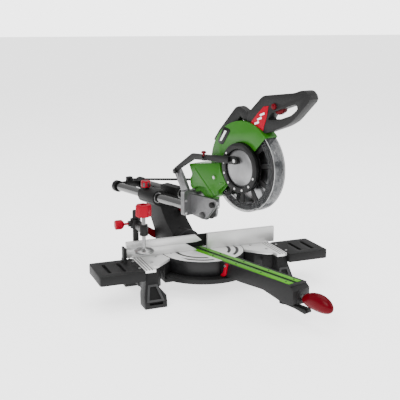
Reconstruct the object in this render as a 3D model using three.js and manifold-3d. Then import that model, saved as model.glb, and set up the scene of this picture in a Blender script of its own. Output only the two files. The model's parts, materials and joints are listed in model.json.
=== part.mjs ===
// A 210 mm sliding compound mitre saw as a three.js scene graph, in millimetres, +X right along the
// fence, +Y to the back, +Z up. The bench is Z = 0 and the origin is under the middle of the saw.
import * as THREE from "three";
import { mergeVertices } from "three/addons/utils/BufferGeometryUtils.js";
import Module from "manifold-3d";

const wasm = await Module();
wasm.setup();

// ---- Driving dimensions ----
const ORIGIN_Y = 44; // the turntable's pivot lies this far behind the origin
const MITRE_DEG = 18; // the turntable stands this far to the right at rest
const GAP = 0.3; // between pieces that touch
const FIT = 0.3; // added to the radius of a bore round a shaft

const TABLE_Z = 92.5; // the work surface
const TABLE_THICK = 8.2;
const TABLE_X = 198; // outer edge of the fixed tables
const TABLE_FRONT = -112;
const TABLE_BACK = 30;
const TURN_R = 112;
const PAN_R = 137;
const PAN_Z = [41, 53];
const FLOOR_Z = [34, 44];
const WING_X = [198.3, 315];
const WING_Y = [-125, -6];
const WING_THICK = 24;

const FENCE_Y = [-1, 9];
const FENCE_END = 215;
const FENCE_Z = TABLE_Z + GAP;
const FENCE_SEAM = 115.5;
const FENCE_TOP = 136;

const CLAMP_POST = { x: -181, y: 18, r: 8, top: 215 };
const CLAMP_SCREW = { x: -177, y: -40, r: 5 };
const CLAMP_COLLAR_Z = [168, 192];

const KERF_X = [-22, 20];
const KERF_Y = [-342, 43];
const KERF_HALF = 1.8;
const KERF_THICK = 4.8;
const ARM_HALF = 28;
const ARM_FRONT = -362;
const LOCK_Z = 63;

const BEVEL_R = 42;
const BEVEL_FLANGE = [58, 66];
const BEVEL_BOLT_R = 6;

const RAIL_X = 41.5;
const RAIL_Z = 217;
const RAIL_R = 12;
const RAIL_BACK = 344.7;
const CARRIAGE = [140, 212];
const BOSS_R = 20;
const BUSH_R = 15;

const CHOP = { y: -48, z: 204 }; // the head's hinge
const CHOP_PIN_R = 6;
const CHEEK_X = [[-40, -30.3], [-7.7, 0]];
const LUG_X = [-29.5, -8.3];
const FIN_PIN = { y: 48, z: 308 };
const LEAD_R = 3.3;
const LEAD_BACK = { y: 342.7, z: 232 };
const LEAD_SLOPE = 0.157;

const BLADE = { y: -181, z: 347, r: 105, bore: 15, half: 1.2, teeth: 24 };
const GUARD_X = [-28, 14];
const GUARD_R = 113.5;
const GUARD_WALL = 2.5;
const RIM_X = [-24.5, 10.5];
const RIM_R = 109.5;
const HUB_R = 62;
const MOTOR = { y: -95, z: 312, r: 40 };
const CASE_X = [15, 44];
const LINK_BOLT = { y: -182, z: 367 };
const HANDLE_X = [-21, 7];

const FINISH = {
  black: [0x262626, 0.55, 0],
  green: [0x3f8f24, 0.4, 0.1],
  lime: [0x7ec83c, 0.45, 0],
  red: [0xd40000, 0.4, 0],
  wine: [0x960808, 0.45, 0],
  alloy: [0xd9d9d6, 0.4, 0.8],
  cast: [0x9a9a9e, 0.5, 0.7],
  steel: [0xc4c6c8, 0.25, 1],
  clear: [0xb8bcbe, 0.2, 0],
  rubber: [0x1c1c1c, 0.8, 0],
  copper: [0xa86a3c, 0.5, 0.6],
};

// ---- Solids ----
// A closed geometry as a manifold-3d solid, its faces turned out.
function solid(geometry) {
  const bare = geometry.clone();
  bare.deleteAttribute("normal");
  bare.deleteAttribute("uv");
  const merged = mergeVertices(bare, 1e-4);
  const at = merged.attributes.position.array;
  const tri = new Uint32Array(merged.index.array);
  const corner = [0, 1, 2].map(() => new THREE.Vector3());
  let volume = 0;
  for (let i = 0; i < tri.length; i += 3) {
    corner.forEach((v, k) => v.fromArray(at, 3 * tri[i + k]));
    volume += corner[0].dot(corner[1].clone().cross(corner[2]));
  }
  for (let i = 0; volume < 0 && i < tri.length; i += 3) {
    [tri[i + 1], tri[i + 2]] = [tri[i + 2], tri[i + 1]];
  }
  return new wasm.Manifold(new wasm.Mesh({ numProp: 3, vertProperties: at, triVerts: tri }));
}

function join(...solids) {
  return solids.reduce((a, b) => a.add(b));
}

function cut(body, ...tools) {
  return tools.reduce((a, b) => a.subtract(b), body);
}

const BASIS = {
  x: [[0, 1, 0], [0, 0, 1], [1, 0, 0]],
  y: [[1, 0, 0], [0, 0, 1], [0, -1, 0]],
  z: [[1, 0, 0], [0, 1, 0], [0, 0, 1]],
};

// An outline pushed along an axis. It is drawn in (y, z) for x, (x, z) for y and (x, y) for z.
function slab(axis, outline, from, to) {
  const flat = outline instanceof THREE.Shape;
  const shape = flat ? outline : new THREE.Shape(outline.map((p) => new THREE.Vector2(...p)));
  const settings = { depth: to - from, bevelEnabled: false, curveSegments: 2 };
  const geometry = new THREE.ExtrudeGeometry(shape, settings);
  const columns = BASIS[axis].map((v) => new THREE.Vector3(...v));
  const start = axis === "y" ? to : from;
  const place = new THREE.Matrix4().makeBasis(...columns);
  place.setPosition(axis === "x" ? start : 0, axis === "y" ? start : 0, axis === "z" ? start : 0);
  return solid(geometry.applyMatrix4(place));
}

function block(x, y, z) {
  const outline = [[x[0], y[0]], [x[1], y[0]], [x[1], y[1]], [x[0], y[1]]];
  return slab("z", outline, z[0], z[1]);
}

function arc(u, v, r, from, to, steps) {
  const points = [];
  for (let i = 0; i <= steps; i += 1) {
    const a = THREE.MathUtils.degToRad(from + ((to - from) * i) / steps);
    points.push([u + r * Math.cos(a), v + r * Math.sin(a)]);
  }
  return points;
}

function rod(axis, r, from, to, u, v, sides = 16) {
  return slab(axis, arc(u, v, r, 0, 360 - 360 / sides, sides - 1), from, to);
}

function ring(axis, outer, inner, from, to, u, v, sides = 24) {
  return cut(rod(axis, outer, from, to, u, v, sides), rod(axis, inner, from - 1, to + 1, u, v, sides));
}

// A polygon with each corner rounded by up to r.
function rounded(points, r) {
  const shape = new THREE.Shape();
  const at = points.map((p) => new THREE.Vector2(...p));
  at.forEach((p, i) => {
    const before = at[(i + at.length - 1) % at.length];
    const after = at[(i + 1) % at.length];
    const a = p.clone().add(before.clone().sub(p).setLength(Math.min(r, p.distanceTo(before) / 2.1)));
    const b = p.clone().add(after.clone().sub(p).setLength(Math.min(r, p.distanceTo(after) / 2.1)));
    if (i) {
      shape.lineTo(a.x, a.y);
    } else {
      shape.moveTo(a.x, a.y);
    }
    shape.quadraticCurveTo(p.x, p.y, b.x, b.y);
  });
  shape.closePath();
  return shape;
}

// The outline of two circles and the two lines that touch both.
function strap(a, ra, b, rb, steps = 12) {
  const along = Math.atan2(b.z - a.z, b.y - a.y);
  const spread = Math.acos((ra - rb) / Math.hypot(b.z - a.z, b.y - a.y));
  const low = THREE.MathUtils.radToDeg(along + spread);
  const high = THREE.MathUtils.radToDeg(along - spread);
  return [...arc(a.y, a.z, ra, low, high + 360, steps), ...arc(b.y, b.z, rb, high, low, steps)];
}

// A profile of [radius, distance along the axis] turned about an axis.
function turned(axis, profile, u, v, sides = 20) {
  const points = profile.map((p) => new THREE.Vector2(...p));
  const geometry = new THREE.LatheGeometry(points, sides);
  const basis = {
    x: [[0, 1, 0], [1, 0, 0], [0, 0, -1]],
    y: [[1, 0, 0], [0, 1, 0], [0, 0, 1]],
    z: [[1, 0, 0], [0, 0, 1], [0, -1, 0]],
  }[axis].map((w) => new THREE.Vector3(...w));
  const place = new THREE.Matrix4().makeBasis(...basis);
  place.setPosition(axis === "x" ? 0 : u, axis === "x" ? u : axis === "y" ? 0 : v, axis === "z" ? 0 : v);
  return solid(geometry.applyMatrix4(place));
}

function wire(points, r, steps, sides = 8) {
  const path = new THREE.CatmullRomCurve3(points.map((p) => new THREE.Vector3(...p)));
  const circle = arc(0, 0, r, 0, 360 - 360 / sides, sides - 1);
  const section = new THREE.Shape(circle.map((p) => new THREE.Vector2(...p)));
  return solid(new THREE.ExtrudeGeometry(section, { extrudePath: path, steps, bevelEnabled: false }));
}

// A sector of a ring round the blade's centre. 0 degrees is the front and 90 the top.
function guardSector(inner, outer, x, from, to, steps = 24) {
  const turn = (a) => 180 - a;
  const out = arc(BLADE.y, BLADE.z, outer, turn(from), turn(to), steps);
  const back = arc(BLADE.y, BLADE.z, inner, turn(to), turn(from), steps);
  return slab("x", [...out, ...back], x[0], x[1]);
}

function part(group, name, body, finish) {
  const mesh = body.getMesh();
  const geometry = new THREE.BufferGeometry();
  geometry.setAttribute("position", new THREE.BufferAttribute(mesh.vertProperties, 3));
  geometry.setIndex(new THREE.BufferAttribute(mesh.triVerts, 1));
  geometry.computeVertexNormals();
  const [color, roughness, metalness] = FINISH[finish];
  const made = new THREE.Mesh(geometry, new THREE.MeshStandardMaterial({ color, roughness, metalness }));
  made.name = name;
  group.add(made);
}

// ---- Base: casting, tables, wings and pivot bolt ----
function tableOutline(side) {
  const bend = arc(0, 0, TURN_R + 1, 15.4, -19.7, 6);
  const rest = [[155, -84], [169, -87], [169, TABLE_FRONT], [TABLE_X, TABLE_FRONT], [TABLE_X, TABLE_BACK]];
  return [...bend, ...rest].map(([x, y]) => [side * x, y]);
}

function legs(side) {
  const top = TABLE_Z - TABLE_THICK - GAP;
  const width = [
    [167, top], [TABLE_X, top], [TABLE_X, 66], [207, 30], [207, 0], [150, 0], [150, 30],
    [166, 50],
  ];
  const front = [[-88, top], [-112, top], [-118, 66], [-139, 16], [-139, 0], [-98, 0], [-94, 40]];
  const back = [[20, top], [30, top], [50, 66], [76, 16], [76, 0], [38, 0], [30, 40]];
  const taper = slab("y", width.map(([x, z]) => [side * x, z]), -150, 90);
  const pair = [front, back].map((outline) => slab("x", outline, -215, 215).intersect(taper));
  const panel = [[161, 9], [196, 9], [194, 30], [186, 50], [168, 50], [162, 30]];
  return cut(join(...pair), slab("y", panel.map(([x, z]) => [side * x, z]), -145, -130));
}

function baseCasting() {
  const top = TABLE_Z - TABLE_THICK - GAP;
  const pan = arc(0, 0, PAN_R, -188.5, 8.5, 32);
  let body = join(slab("z", pan, PAN_Z[0], PAN_Z[1]), block([-200, 200], [-60, 50], FLOOR_Z));
  for (const side of [-1, 1]) {
    body = join(body, slab("z", tableOutline(side), FLOOR_Z[0], top), legs(side));
    const hollow = [128, 190].map((x) => side * x).sort((a, b) => a - b);
    body = cut(body, block(hollow, [-74, 22], [20, 78]));
  }
  const post = rod("z", CLAMP_POST.r + FIT, 56 - GAP, 90, CLAMP_POST.x, CLAMP_POST.y);
  const seat = block([-195, -167], [6, 29], [50, top]);
  return cut(
    join(body, seat),
    rod("z", TURN_R + 1, PAN_Z[1], 120, 0, 0, 64),
    rod("z", 8 + FIT, 20, 60, 0, 0),
    post,
  );
}

function table(side) {
  const plate = slab("z", tableOutline(side), TABLE_Z - TABLE_THICK, TABLE_Z);
  return side < 0 ? cut(plate, rod("z", CLAMP_POST.r + FIT, 80, 99, CLAMP_POST.x, CLAMP_POST.y)) : plate;
}

function wing(side) {
  const [inner, outer] = WING_X;
  const low = TABLE_Z - WING_THICK;
  const plan = [[inner, WING_Y[1]], [inner, WING_Y[0]], [outer, WING_Y[0]], [outer, WING_Y[1]]];
  const outline = (p, r) => rounded(p.map(([x, y]) => [side * x, y]), r);
  let body = slab("z", outline(plan, 7), low, TABLE_Z);
  const inside = [
    [inner + 5, WING_Y[1] - 5], [inner + 5, WING_Y[0] + 5], [outer - 5, WING_Y[0] + 5],
    [outer - 5, WING_Y[1] - 5],
  ];
  body = cut(body, slab("z", outline(inside, 3), low - 1, TABLE_Z - 13));
  for (const x of [246, 284]) {
    const groove = [[x - 4.5, -100], [x + 4.5, -100], [x + 4.5, -30], [x - 4.5, -30]];
    body = cut(body, slab("z", outline(groove, 4), TABLE_Z - 8, TABLE_Z + 1));
  }
  if (side < 0) {
    const ears = [[-44, -40.4], [-19.6, -16]].map((y) => block([-231.5, -222.5], y, [TABLE_Z - 2, 102]));
    body = join(body, ...ears);
  }
  return body;
}

function flipStop() {
  const outline = [...arc(-227, 97.5, 4, -180, 0, 6), [-223, 130], [-226, 133], [-231, 133]];
  return slab("y", outline, -40, -20);
}

function pivotBolt() {
  return turned("z", [[0, 26], [13, 26], [13, 33.6], [8, 33.6], [8, 70], [0, 70]], 0, 0);
}

// ---- Fence and work clamp ----
function fenceLeftLower() {
  const outline = [
    [-FENCE_END, FENCE_Z], [-17, FENCE_Z], [-17, 95], [-50, FENCE_SEAM],
    [-FENCE_END, FENCE_SEAM],
  ];
  const foot = block([-150, -122], [FENCE_Y[1] - 1, 26], [FENCE_Z, 99]);
  return join(slab("y", outline, ...FENCE_Y), foot);
}

function fenceLeftUpper() {
  const seam = FENCE_SEAM + GAP;
  const outline = [[-213, seam], [-19, seam], [-2, 119.5], [-19, 135], [-213, 135]];
  return slab("y", outline, ...FENCE_Y);
}

function fenceRight() {
  const face = block([15, FENCE_END + 1], FENCE_Y, [FENCE_Z, FENCE_TOP]);
  const foot = block([122, 190], [FENCE_Y[1] - 1, 26], [FENCE_Z, 99]);
  const ribs = [140, 172].map((x) => slab("x", [[8, 98], [26, 98], [8, 128]], x - 2, x + 2));
  return join(face, foot, ...ribs);
}

function fenceBridge() {
  const outline = [
    [-40, 9 + GAP], [-30, 9 + GAP], [-30, 20], [30, 20], [30, 9 + GAP], [40, 9 + GAP],
    [40, 27], [-40, 27],
  ];
  return slab("z", outline, TABLE_Z + 3, 130);
}

function clampPost() {
  const { x, y, r, top } = CLAMP_POST;
  return turned("z", [[0, 56], [r, 56], [r, top - 2], [r - 2, top], [0, top]], x, y);
}

function clampArm() {
  const [low, high] = CLAMP_COLLAR_Z;
  const bar = block([-187, -169], [CLAMP_SCREW.y, CLAMP_POST.y], [low + 2, high - 6]);
  const collar = rod("z", 14, low, high, CLAMP_POST.x, CLAMP_POST.y, 20);
  const boss = rod("z", 11, low - 6, high - 2, CLAMP_SCREW.x, CLAMP_SCREW.y, 24);
  const body = join(bar, collar, boss, rod("x", 8, -201, -188, CLAMP_POST.y, 180));
  return cut(
    body,
    rod("z", CLAMP_POST.r + FIT, 100, 250, CLAMP_POST.x, CLAMP_POST.y),
    rod("z", CLAMP_SCREW.r + FIT, 100, 250, CLAMP_SCREW.x, CLAMP_SCREW.y),
    rod("x", 3 + FIT, -220, -181, CLAMP_POST.y, 180),
  );
}

function clampThumbScrew() {
  const profile = [
    [0, -237], [9, -237], [12.5, -233], [12.5, -219], [8, -214], [3, -212], [3, -189.4],
    [0, -189.4],
  ];
  return turned("x", profile, CLAMP_POST.y, 180, 16);
}

function clampSpindle() {
  const { x, y, r } = CLAMP_SCREW;
  const profile = [
    [0, 118], [26, 118], [26, 122], [20, 125.5], [8, 127], [r, 130], [r, 211], [0, 211],
  ];
  return turned("z", profile, x, y, 20);
}

function clampKnob() {
  const { x, y, r } = CLAMP_SCREW;
  const top = [[r + FIT, 212], [17, 212], [20.5, 218], [20.5, 236], [17, 242], [0, 243]];
  return turned("z", [[0, 211 + GAP], [r + FIT, 211 + GAP], ...top], x, y, 12);
}

// ---- Turntable with its arm, slot plates, locks and bevel bolt ----
function turntable() {
  const top = rod("z", TURN_R, TABLE_Z - 8, TABLE_Z, 0, 0, 36);
  const rim = ring("z", TURN_R, TURN_R - 6, PAN_Z[1] + GAP, TABLE_Z - 7, 0, 0, 36);
  const hub = rod("z", 20, PAN_Z[1] + GAP, TABLE_Z - 7, 0, 0, 24);
  const web = block([-30, 30], [10, 60], [PAN_Z[1] + 4, TABLE_Z - 7]);
  const back = block([-150, 150], [60, 150], [0, 150]);
  const flange = rod("y", BEVEL_R, BEVEL_FLANGE[0], BEVEL_FLANGE[1], 0, TABLE_Z, 36);
  const slot = block([-8, 8], [-TURN_R - 1, 38], [79, TABLE_Z + 1]);
  const seat = block(
    [KERF_X[0] - GAP, KERF_X[1] + GAP],
    [-TURN_R - 1, KERF_Y[1] + GAP],
    [TABLE_Z - KERF_THICK - GAP, 99],
  );
  const bolt = rod("y", BEVEL_BOLT_R + FIT, 40, 80, 0, TABLE_Z);
  const head = rod("y", 10, 49, BEVEL_FLANGE[0], 0, TABLE_Z);
  const pivot = rod("z", 8 + FIT, 40, 71, 0, 0);
  return cut(join(cut(join(top, rim, hub, web), back), flange), slot, seat, bolt, head, pivot);
}

function mitreArm() {
  const side = [
    [-100, 56], [-100, 87.4], [ARM_FRONT + 8, 87.4], [ARM_FRONT, 80], [ARM_FRONT, 48],
    [-345, 44],
  ];
  side.push([-318, 46], [-262, 58], [-181, 55]);
  let body = slab("x", side, -ARM_HALF, ARM_HALF);
  const lips = [[-ARM_HALF, KERF_X[0] - GAP], [KERF_X[1] + GAP, ARM_HALF]];
  body = join(body, ...lips.map((x) => block(x, [-352, -100], [87, TABLE_Z - 0.5])));
  body = join(body, block([-ARM_HALF, ARM_HALF], [-352, KERF_Y[0] - GAP], [87, TABLE_Z - 0.5]));
  body = join(body, rod("y", 18, ARM_FRONT - 3, ARM_FRONT + 2, 0, LOCK_Z, 24));
  const ear = [[-324, 50], [-300, 52], [-304, 32], [-317, 32]];
  body = join(body, slab("x", ear, -13, -9.4), slab("x", ear, 9.4, 13));
  const slot = block([-8, 8], [-338, -100], [79, TABLE_Z + 1]);
  const hollow = block([-22, 22], [-300, -120], [40, 76]);
  return cut(
    body,
    slot,
    hollow,
    rod("x", 2.5 + FIT, -20, 20, -311, 36.5),
    rod("y", 5 + FIT, -370, -290, 0, LOCK_Z),
    rod("z", TURN_R + 0.4, 0, 120, 0, 0, 36),
  );
}

// The right plate is cut away underneath, for the blade leans that way below the table in a bevel.
function kerfPlate(side) {
  const outer = side < 0 ? KERF_X[0] : KERF_X[1];
  const low = TABLE_Z - KERF_THICK;
  const relief = side < 0 ? 0 : KERF_THICK + 0.6;
  const inner = side * KERF_HALF;
  return slab("y", [[outer, low], [outer, TABLE_Z], [inner, TABLE_Z], [inner + relief, low]], ...KERF_Y);
}

function mitrePointer() {
  const hook = [
    [-139, 92], [-129, 92], [-123, 68], [-118, 62], [-113.5, 60], [-113.5, 54.4], [-122, 54.4],
    [-130, 60],
  ];
  const plate = slab("x", rounded(hook, 2.5), -ARM_HALF - 6, -ARM_HALF - GAP);
  return plate;
}

function mitreLockHandle() {
  const side = [[-366, 54], [-366, 72], [-388, 85], [-449, 87], [-460, 76], [-443, 45], [-400, 39]];
  const grip = slab("x", rounded(side, 9), -13, 13);
  const stem = rod("y", 5, -367, -296, 0, LOCK_Z);
  return join(grip, stem);
}

function detentLever() {
  const side = [[-305, 41], [-305, 32], [-350, 31], [-383, 26], [-389, 31], [-384, 38], [-352, 38]];
  return join(slab("x", rounded(side, 3), -9, 9), rod("x", 2.5, -12, 12, -311, 36.5));
}

function bevelBolt() {
  const r = BEVEL_BOLT_R;
  return turned("y", [[0, 50], [9.5, 50], [9.5, 57.6], [r, 57.6], [r, 181], [0, 181]], 0, TABLE_Z);
}

// ---- Bevel column with the rail carriage ----
function bevelColumn() {
  const side = [
    [80, 62], [80, 120], [112, 152], [140, 194], [140, 202], [212, 202], [206, 190],
    [168, 120], [158, 62],
  ];
  let body = join(
    rod("y", BEVEL_R, BEVEL_FLANGE[1] + GAP, 94, 0, TABLE_Z, 36),
    slab("x", rounded(side, 8), -36, 36),
  );
  const saddle = [[-60, 203], [-36, 190], [36, 190], [60, 203], [48, 236], [-48, 236]];
  body = join(body, slab("y", rounded(saddle, 8), ...CARRIAGE));
  const well = block([-20, 20], [CARRIAGE[0] - 1, CARRIAGE[1] + 1], [214, 240]);
  for (const side of [-1, 1]) {
    body = join(body, rod("y", BOSS_R, ...CARRIAGE, side * RAIL_X, RAIL_Z, 24));
    body = cut(body, rod("y", BUSH_R + GAP, 100, 250, side * RAIL_X, RAIL_Z, 24));
  }
  const bolt = rod("y", BEVEL_BOLT_R + FIT, 40, 240, 0, TABLE_Z);
  const pin = rod("y", 4 + FIT, 90, 152, 24, 176);
  return cut(body, well, bolt, pin, rod("z", 4 + FIT, 225, 250, -44, 196));
}

function railBush(side) {
  const bush = ring("y", BUSH_R, RAIL_R + FIT, CARRIAGE[0] + 1, CARRIAGE[1] - 1, side * RAIL_X, RAIL_Z, 24);
  return side < 0 ? cut(bush, rod("z", 4 + FIT, 225, 250, -44, 196)) : bush;
}

function bevelLockLever() {
  const y = [169, 177];
  const blade = [[-2, 80], [-40, 96], [-72, 122], [-64, 136], [-36, 118], [6, 106]];
  const body = join(slab("y", rounded(blade, 4), ...y), rod("y", 14, y[0], y[1] + 2, 0, TABLE_Z, 24));
  return cut(body, rod("y", BEVEL_BOLT_R + FIT, 100, 200, 0, TABLE_Z));
}

function slideLockKnob() {
  const profile = [[0, 229.6], [4, 229.6], [4, 238], [11, 238.5], [14, 242], [14, 253], [10, 257], [0, 257]];
  return turned("z", profile, -44, 196, 12);
}

function bevelStopPin() {
  const profile = [
    [0, 100], [6.5, 100], [8.5, 103], [8.5, 116], [4, 118], [4, 151], [0, 151],
  ];
  return turned("y", profile, 24, 176, 16);
}

// ---- Sliding frame: rails, end bar, head bracket, hinge pin, spring and lead ----
function rail(side) {
  return ring("y", RAIL_R, RAIL_R - 2.5, 4 + GAP, RAIL_BACK, side * RAIL_X, RAIL_Z, 24);
}

function leadHeight(y) {
  return LEAD_BACK.z + (LEAD_BACK.y - y) * LEAD_SLOPE;
}

// The hole that holds the power lead between two places along the rails.
function leadBore(from, to) {
  return wire([from, (from + to) / 2, to].map((y) => [0, y, leadHeight(y)]), LEAD_R + 0.6, 2, 12);
}

function railEndBar() {
  const bar = block([-RAIL_X, RAIL_X], [335, 349], [207, 227]);
  const caps = [-1, 1].map((side) => rod("y", 17, 335, 350, side * RAIL_X, RAIL_Z, 20));
  const clip = block([-8, 8], [335, 349], [225, 240]);
  const sockets = [-1, 1].map((side) => rod("y", RAIL_R + FIT, 330, 345, side * RAIL_X, RAIL_Z, 24));
  return cut(join(bar, ...caps, clip), ...sockets, leadBore(344, 330));
}

function headBracket() {
  const web = slab("y", rounded([[-62, 196], [62, 196], [62, 250], [40, 262], [-62, 262]], 6), 0, 14);
  const cheek = rounded([[6, 252], [-101, 254], [-102, 240], [-56, 193], [6, 199]], 7);
  const fin = [[0, 240], [0, 262], [18, 290], [38, 317], [54, 317], [57, 302], [34, 268], [14, 236]];
  const lug = slab("x", rounded([[2, 250], [40, 262], [38, 290], [20, 292], [2, 262]], 4), -9, 9);
  let body = join(web, slab("x", rounded(fin, 4), -49.2, -40), lug);
  const inner = rounded([[6, 240], [-50, 236], [-66, 214], [-60, 193], [6, 199]], 7);
  body = join(body, slab("x", cheek, ...CHEEK_X[0]), slab("x", inner, ...CHEEK_X[1]));
  for (const side of [-1, 1]) {
    body = cut(body, rod("y", RAIL_R + FIT, 4, 20, side * RAIL_X, RAIL_Z, 24));
  }
  const hinge = rod("x", CHOP_PIN_R + FIT, -50, 50, CHOP.y, CHOP.z);
  const stop = rod("x", 4 + FIT, -50, 50, -88, 239);
  return cut(body, leadBore(45, 22), hinge, stop, rod("x", 4 + FIT, -50, -39, FIN_PIN.y, FIN_PIN.z));
}

function pivotPin() {
  const r = CHOP_PIN_R;
  return turned("x", [[0, -44], [9, -44], [9, -40.4], [r, -40.4], [r, 3], [0, 3]], CHOP.y, CHOP.z, 20);
}

function transportPin() {
  const profile = [
    [0, -48], [6, -48], [7.5, -46], [7.5, -40.4], [4, -40.4], [4, -30.6], [0, -30.6],
  ];
  return turned("x", profile, -88, 239, 16);
}

function headSpring() {
  const turns = 4;
  const points = [];
  for (let i = 0; i <= turns * 10; i += 1) {
    const a = (i / 10) * 2 * Math.PI;
    points.push([-23 + (8 * i) / (turns * 10), CHOP.y + 9.2 * Math.cos(a), CHOP.z + 9.2 * Math.sin(a)]);
  }
  return wire(points, 1.1, turns * 12, 6);
}

function powerLead() {
  return wire([LEAD_BACK.y - GAP, 230, 120, 24].map((y) => [0, y, leadHeight(y)]), LEAD_R, 12);
}

// ---- Sawing head ----
function armHousing() {
  const side = [
    [9, 332], [-112, 350], [-114, 333], [-137, 301], [-104, 278], [-92, 260], [-70, 250],
    [-46, 251],
  ];
  side.push([-30, 264], [-8, 258], [5, 288], [-5, 306]);
  const shield = slab("x", rounded(side, 5), -38.5, GUARD_X[0] - 0.5);
  const clear = rod("x", GUARD_R + 1.5, -29, CASE_X[0] + 0.01, BLADE.y, BLADE.z, 56);
  const core = cut(slab("x", rounded(side, 5), GUARD_X[0] - 1.5, CASE_X[0] + 0.02), clear);
  const swing = rod("x", 76, -40, -29.5, CHOP.y, CHOP.z, 36);
  const shell = slab("x", strap(MOTOR, 42, BLADE, 38), ...CASE_X);
  const pocket = slab("x", strap(MOTOR, 20, BLADE, 33), CASE_X[0] + 4, CASE_X[1] + 1);
  const lug = cut(slab("x", strap({ y: -64, z: 268 }, 18, CHOP, 14), ...LUG_X), clear);
  const ring1 = rod("x", HUB_R, -39, GUARD_X[0] - 0.4, BLADE.y, BLADE.z, 36);
  const spring = slab("x", strap(CHOP, 12, { y: CHOP.y + 2, z: CHOP.z - 30 }, 11.9), -25.5, -12.5);
  return cut(
    join(cut(shield, ring1, swing), core, shell, lug),
    pocket,
    spring,
    rod("x", CHOP_PIN_R + FIT, -50, 50, CHOP.y, CHOP.z),
    rod("x", 8.6, 0, 60, BLADE.y, BLADE.z),
  );
}

function upperGuard() {
  const [left, right] = GUARD_X;
  const shell = guardSector(40, GUARD_R, GUARD_X, 46, 226, 36);
  const inside = rod("x", GUARD_R - GUARD_WALL, left + GUARD_WALL, right - GUARD_WALL, BLADE.y, BLADE.z, 36);
  const eye = rod("x", HUB_R, left - 1, left + GUARD_WALL + 1, BLADE.y, BLADE.z, 36);
  return cut(shell, inside, eye);
}

function carryHandle() {
  const outline = [[-62, 400], [-84, 428], [-146, 492], [-160, 494], [-189, 480], [-189, 440], [-100, 400]];
  const window = [[-148, 452], [-163, 470], [-180, 455]];
  const body = slab("x", rounded(outline, 8), -17, 3);
  const clear = rod("x", GUARD_R + GAP + 0.2, -40, 40, BLADE.y, BLADE.z, 56);
  return cut(body, clear, slab("x", rounded(window, 2), -30, 10));
}

function mainHandle() {
  const outline = [[-190, 478], [-242, 525], [-344, 538], [-360, 545], [-378, 544], [-390, 526]];
  outline.push([-336, 473], [-310, 459], [-252, 438], [-190, 430]);
  const body = slab("x", rounded(outline, 9), ...HANDLE_X);
  const clear = rod("x", GUARD_R + GAP + 0.2, -40, 40, BLADE.y, BLADE.z, 56);
  const grip = [[-258, 470], [-272, 488], [-346, 514], [-353, 503], [-333, 487], [-292, 473]];
  const rear = block([-40, 40], [-189.5, -100], [400, 600]);
  const slot = block([-14.5, 0.5], [-303, -275], [474, 511]);
  const button = rod("x", 7 + FIT, -30, -15, -280, 503);
  return cut(body, clear, rear, slab("x", rounded(grip, 6), -40, 32), slot, button);
}

function trigger() {
  const outline = [[-275.5, 504], [-275.5, 488], [-288, 483], [-302.5, 492], [-302.5, 504]];
  return slab("x", rounded(outline, 3), -14, 0);
}

function lockOffButton() {
  return turned("x", [[0, -26], [5, -26], [7, -24.5], [7, -19.6], [0, -19.6]], -280, 503, 20);
}

function motorHousing() {
  const left = CASE_X[1] + GAP;
  const flange = slab("x", strap(MOTOR, 42, BLADE, 38), left, left + 4);
  const barrel = rod("x", MOTOR.r, left, 150, MOTOR.y, MOTOR.z, 32);
  const bore = rod("x", MOTOR.r - 4, left + 10, 160, MOTOR.y, MOTOR.z, 24);
  return cut(join(flange, barrel), bore, rod("x", 6, 0, 70, MOTOR.y, MOTOR.z));
}

function motorEndCap() {
  const r = MOTOR.r;
  const profile = [[0, 150 + GAP], [r, 150 + GAP], [r, 162], [r - 6, 170], [r - 16, 173], [0, 173]];
  return turned("x", profile, MOTOR.y, MOTOR.z, 32);
}

function driveBelt() {
  const x = [26, 38];
  const outer = slab("x", strap(MOTOR, 15.3, BLADE, 30.3, 16), ...x);
  return cut(outer, slab("x", strap(MOTOR, 12.4, BLADE, 27.4, 16), 20, 44));
}

function hubRing() {
  return ring("x", HUB_R - 0.6, 47, -38, -29, BLADE.y, BLADE.z, 36);
}

function hubCover() {
  const profile = [
    [0, -41.6], [20, -41.4], [34, -40], [46.5, -33.5], [46.5, -29], [20, -29], [20, -21.5],
    [0, -21.5],
  ];
  return turned("x", profile, BLADE.y, BLADE.z, 32);
}

function armature() {
  const shaft = rod("x", 5, 22, 148, MOTOR.y, MOTOR.z, 16);
  const pulley = rod("x", 12, 26, 38, MOTOR.y, MOTOR.z, 24);
  const core = rod("x", 23, 72, 118, MOTOR.y, MOTOR.z, 24);
  const commutator = rod("x", 13, 126, 140, MOTOR.y, MOTOR.z, 24);
  return join(shaft, pulley, core, commutator);
}

function motorFan() {
  const hub = ring("x", 30, 5.4, 58, 60, MOTOR.y, MOTOR.z, 24);
  const vanes = [];
  for (let i = 0; i < 9; i += 1) {
    const vane = new THREE.BoxGeometry(7, 1.6, 17);
    vane.translate(62.5, 0, 20);
    vane.rotateX((i * 2 * Math.PI) / 9);
    vanes.push(solid(vane.translate(0, MOTOR.y, MOTOR.z)));
  }
  return join(hub, ...vanes);
}

function arborShaft() {
  const profile = [
    [0, -1.4], [14.6, -1.4], [14.6, 1.5], [22, 1.5], [22, 6], [8, 6], [8, 26], [27, 26],
    [27, 38], [8, 38],
  ];
  return turned("x", [...profile, [8, 42], [0, 42]], BLADE.y, BLADE.z, 24);
}

function bladeFlange() {
  const profile = [[0, -1.7], [22, -1.7], [22, -5], [15, -6.5], [9, -6.5], [9, -14], [0, -14]];
  return turned("x", profile, BLADE.y, BLADE.z, 24);
}

function blade() {
  const { y, z, r, teeth } = BLADE;
  const outline = [];
  for (let i = 0; i < teeth; i += 1) {
    const step = 360 / teeth;
    const at = (radius, share) => arc(y, z, radius, (i + share) * step, 0, 1)[0];
    outline.push(at(r - 14, 0), at(r - 12, 0.28), at(r - 4, 0.4), at(r, 0.82), at(r - 6, 0.9));
  }
  return cut(slab("x", outline, -BLADE.half, BLADE.half), rod("x", BLADE.bore, -9, 9, y, z, 24));
}

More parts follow.
